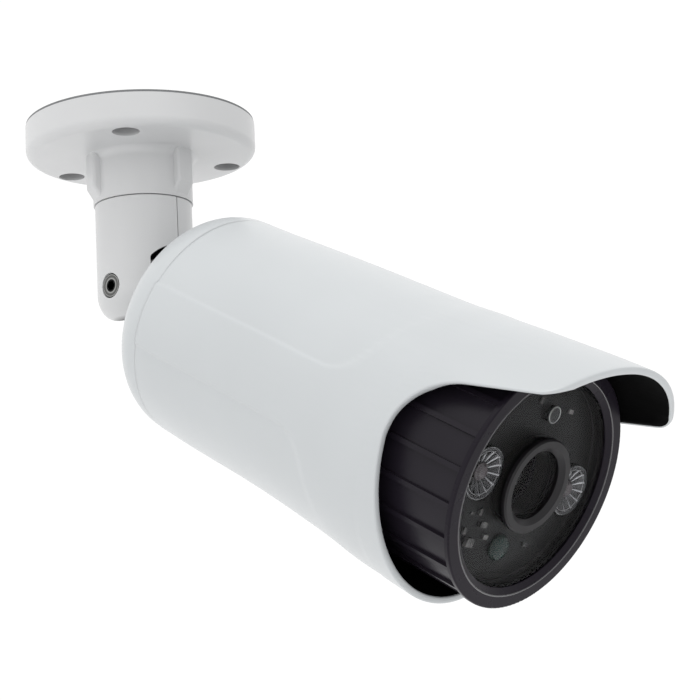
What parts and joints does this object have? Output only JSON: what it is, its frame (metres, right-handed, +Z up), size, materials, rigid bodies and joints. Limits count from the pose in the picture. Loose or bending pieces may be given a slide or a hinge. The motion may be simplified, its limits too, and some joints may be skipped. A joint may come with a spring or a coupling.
{
  "type": "bullet security camera",
  "caption": "Round-bodied outdoor security camera with a visor, a lit front window and a ceiling bracket that pans, tilts and rolls.",
  "frame": {"origin": "middle of the bracket's ceiling face, in the plane of the three mounting holes", "axes": "+Z up into the ceiling; the camera looks towards -Y and 28 degrees down; +X is its right"},
  "size_m": [0.084, 0.2322, 0.1749],
  "materials": {
    "white_paint": "satin powder coat",
    "white_shell": "satin paint, cool white",
    "black_satin": "satin black",
    "black_plastic": "fine matt",
    "gasket_grey": "foam rubber",
    "black_rubber": "matt",
    "steel": "bright zinc",
    "chrome": "polished",
    "brass": "plain",
    "aluminium": "plain sheet",
    "black_board": "black solder mask",
    "green_board": "green solder mask",
    "board_parts": "moulded parts",
    "reflector": "metallised",
    "led_lens": "clear epoxy",
    "sensor_lens": "translucent",
    "clear_glass": "clear",
    "coated_glass": "coated lens glass",
    "filter_glass": "tinted",
    "copper": "enamelled winding"
  },
  "bodies": {
    "bracket_base": {"base_gasket": "gasket_grey", "base_plate": "white_paint"},
    "arm": {"arm_half_left": "white_paint", "arm_half_right": "white_paint", "tilt_bolt": "chrome", "tilt_nut": "steel", "clamp_screw": "steel"},
    "neck": {"neck": "black_satin", "tilt_washers": "black_plastic", "roll_seal": "black_rubber", "roll_nut": "aluminium"},
    "zoom_ring": {"zoom_ring": "black_plastic", "zoom_thumb_screw": "steel"},
    "zoom_group": {"zoom_cell": "black_plastic", "zoom_lens": "coated_glass"},
    "focus_ring": {"focus_ring": "black_plastic", "focus_thumb_screw": "steel"},
    "focus_group": {"focus_cell": "black_plastic", "focus_lens": "coated_glass"},
    "filter": {"filter_frame": "black_plastic", "cut_filter": "filter_glass", "clear_filter": "clear_glass"},
    "camera": {"rear_cap": "white_shell", "shell": "white_shell", "front_barrel": "black_satin", "housing_seals": "black_rubber", "housing_screws": "steel", "bezel": "black_satin", "front_glass": "clear_glass", "glass_seal": "black_rubber", "trim_ring": "black_plastic", "lens_window": "clear_glass", "window_seal": "black_rubber", "led_board": "black_board", "led_reflectors": "reflector", "led_emitters": "led_lens", "photocell": "sensor_lens", "face_sensor": "sensor_lens", "led_board_parts": "board_parts", "led_standoffs": "brass", "standoff_screws": "steel", "chassis": "aluminium", "chassis_screws": "steel", "lens_holder": "black_plastic", "filter_coil": "copper", "sensor_board": "green_board", "image_sensor": "board_parts", "sensor_spacers": "brass", "sensor_screws": "steel", "lens_body": "black_plastic", "lens_collar": "black_plastic", "front_lens": "coated_glass", "rear_lens": "coated_glass", "main_board": "green_board", "main_board_parts": "board_parts", "board_spacers": "brass", "power_board": "green_board", "power_board_parts": "board_parts", "board_screws": "steel"}
  },
  "joints": [
    {"name": "pan", "type": "hinge", "parent": "bracket_base", "child": "arm", "pos_m": [0, 0, -0.029], "axis": [0, 0, 1], "range_deg": [-180, 180]},
    {"name": "tilt", "type": "hinge", "parent": "arm", "child": "neck", "pos_m": [0, 0, -0.0594], "axis": [1, 0, 0], "range_deg": [-28, 62]},
    {"name": "roll", "type": "hinge", "parent": "neck", "child": "camera", "pos_m": [0, 0, -0.0594], "axis": [0, -0.8821, -0.471], "range_deg": [-180, 180]},
    {"name": "zoom_turn", "type": "hinge", "parent": "camera", "child": "zoom_ring", "pos_m": [0, -0.1235, -0.12534], "axis": [0, -0.8821, -0.471], "range_deg": [-30, 30]},
    {"name": "zoom_move", "type": "slide", "parent": "camera", "child": "zoom_group", "axis": [0, -0.8821, -0.471], "range_m": [-0.0041, 0.0041]},
    {"name": "focus_turn", "type": "hinge", "parent": "camera", "child": "focus_ring", "pos_m": [0, -0.13673, -0.13241], "axis": [0, -0.8821, -0.471], "range_deg": [-35, 35]},
    {"name": "focus_move", "type": "slide", "parent": "camera", "child": "focus_group", "axis": [0, -0.8821, -0.471], "range_m": [-0.0021, 0.0021]},
    {"name": "filter_move", "type": "slide", "parent": "camera", "child": "filter", "axis": [0.9965, 0.0394, -0.0738], "range_m": [-0.011, 0]}
  ],
  "couplings": [
    {"joint": "zoom_move", "follows": "zoom_turn", "m_per_rad": 0.0076394},
    {"joint": "focus_move", "follows": "focus_turn", "m_per_rad": 0.003274}
  ]
}
